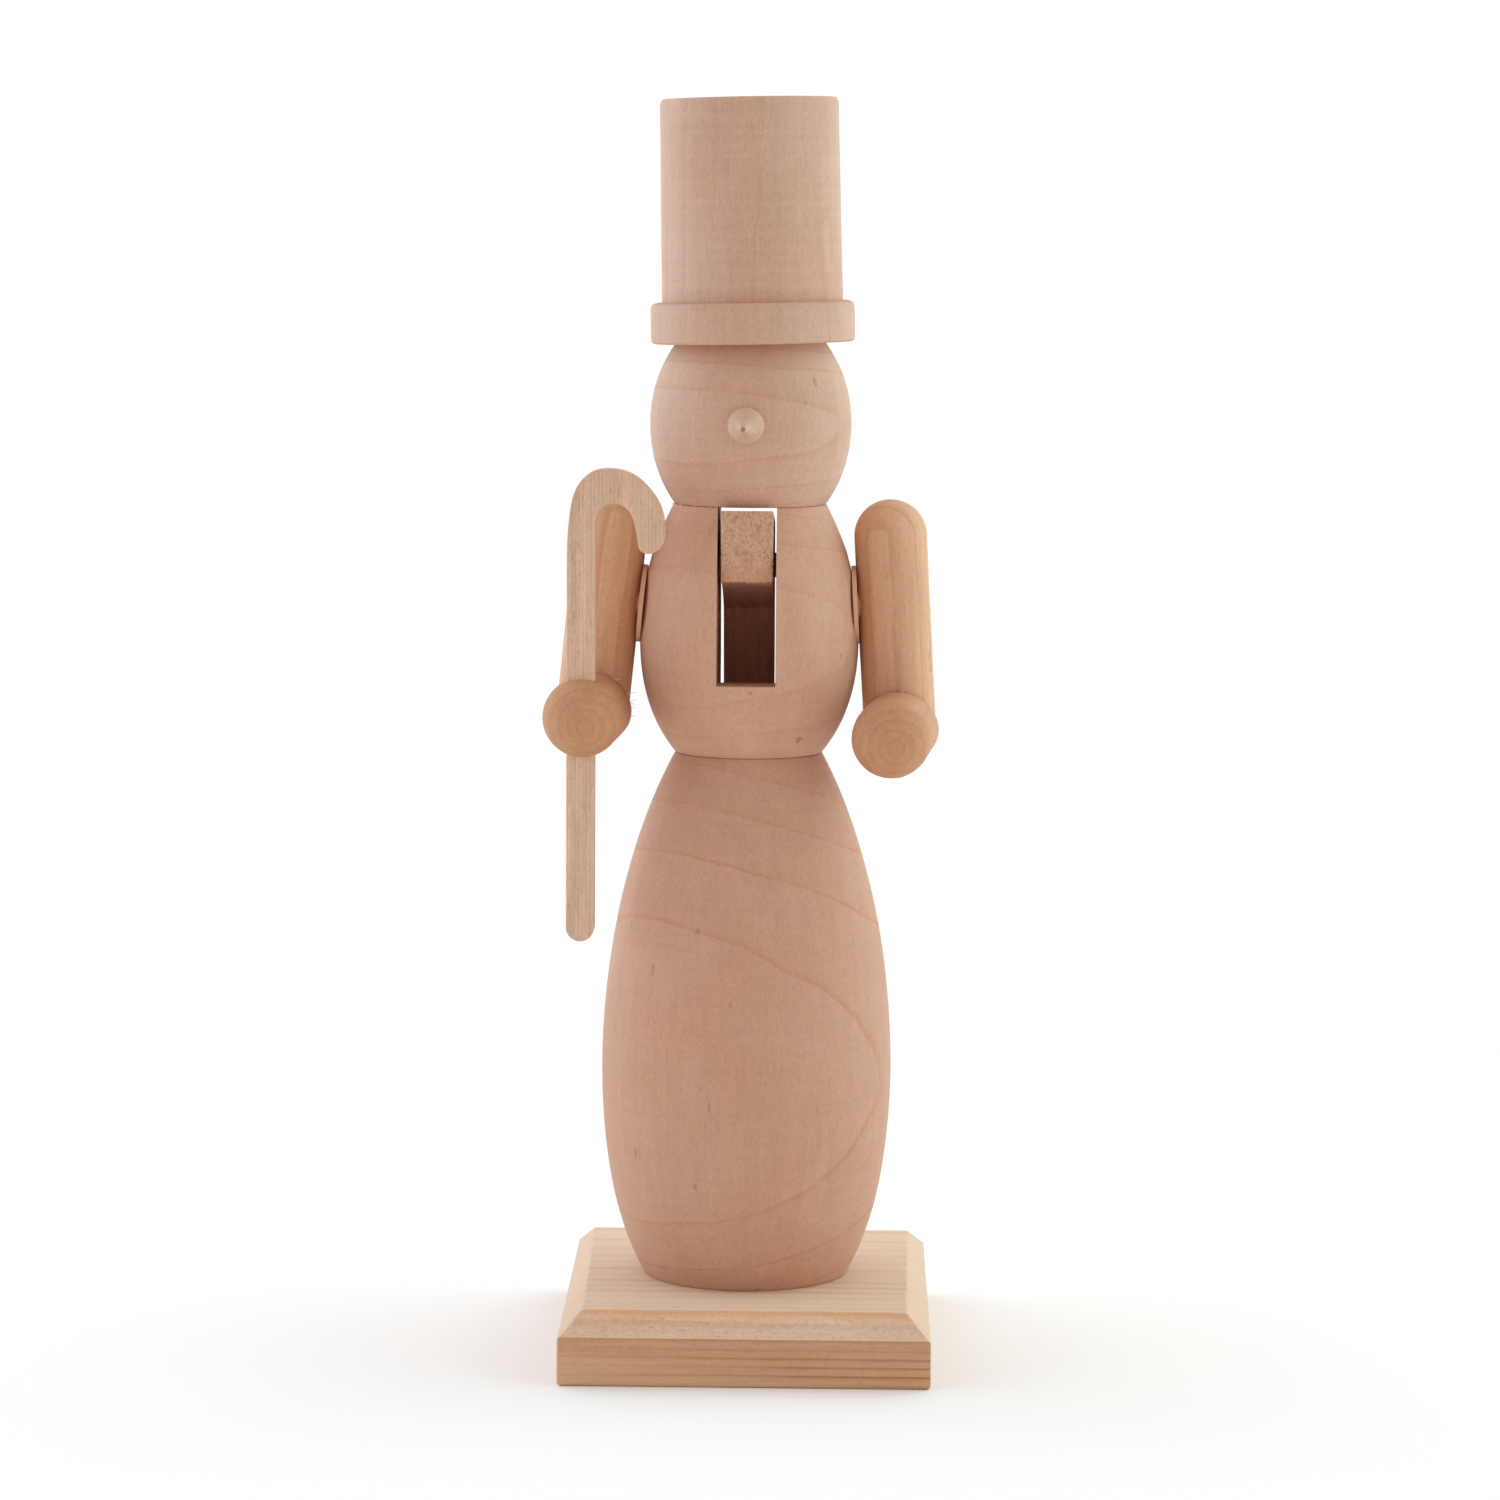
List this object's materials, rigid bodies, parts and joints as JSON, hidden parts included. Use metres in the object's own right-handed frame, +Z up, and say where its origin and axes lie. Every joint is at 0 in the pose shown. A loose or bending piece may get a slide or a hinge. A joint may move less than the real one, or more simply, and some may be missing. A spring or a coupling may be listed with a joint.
{
  "type": "wooden snowman nutcracker figure",
  "caption": "Unfinished turned wood snowman figure with a tall hat, jointed jaw lever, mitred arms and a cane, on a bevelled board.",
  "frame": {"origin": "centre of the flat underside of the base board", "axes": "+Z up, the face and the jaw look along -Y, +X is the viewer's right when facing the figure"},
  "size_m": [0.0794, 0.086, 0.2542],
  "materials": {
    "turned_wood": "raw turned and lightly sanded hardwood",
    "arm_wood": "raw birch dowel",
    "dowel_wood": "raw birch dowel",
    "lever_wood": "raw sawn board",
    "cane_wood": "raw sawn thin board",
    "board_wood": "raw planed softwood",
    "screw_steel": "zinc plated"
  },
  "bodies": {
    "figure": {"base_board": "board_wood", "base_screw": "screw_steel", "lower_body": "turned_wood", "waist_dowel": "dowel_wood", "torso": "turned_wood", "left_neck_dowel": "dowel_wood", "right_neck_dowel": "dowel_wood", "head": "turned_wood", "nose": "turned_wood", "hat_dowel": "dowel_wood", "hat_brim": "turned_wood", "hat_crown": "turned_wood", "jaw_pin": "dowel_wood", "left_shoulder_spacer": "dowel_wood", "right_shoulder_spacer": "dowel_wood", "left_shoulder_dowel": "dowel_wood", "right_shoulder_dowel": "dowel_wood", "left_upper_arm": "arm_wood", "right_upper_arm": "arm_wood", "left_forearm": "arm_wood", "right_forearm": "arm_wood", "candy_cane": "cane_wood"},
    "lever": {"jaw_lever": "lever_wood"}
  },
  "joints": [
    {"name": "jaw_pivot", "type": "hinge", "parent": "figure", "child": "lever", "pos_m": [0, 0, 0.16], "axis": [1, 0, 0], "range_deg": [0, 25]}
  ]
}
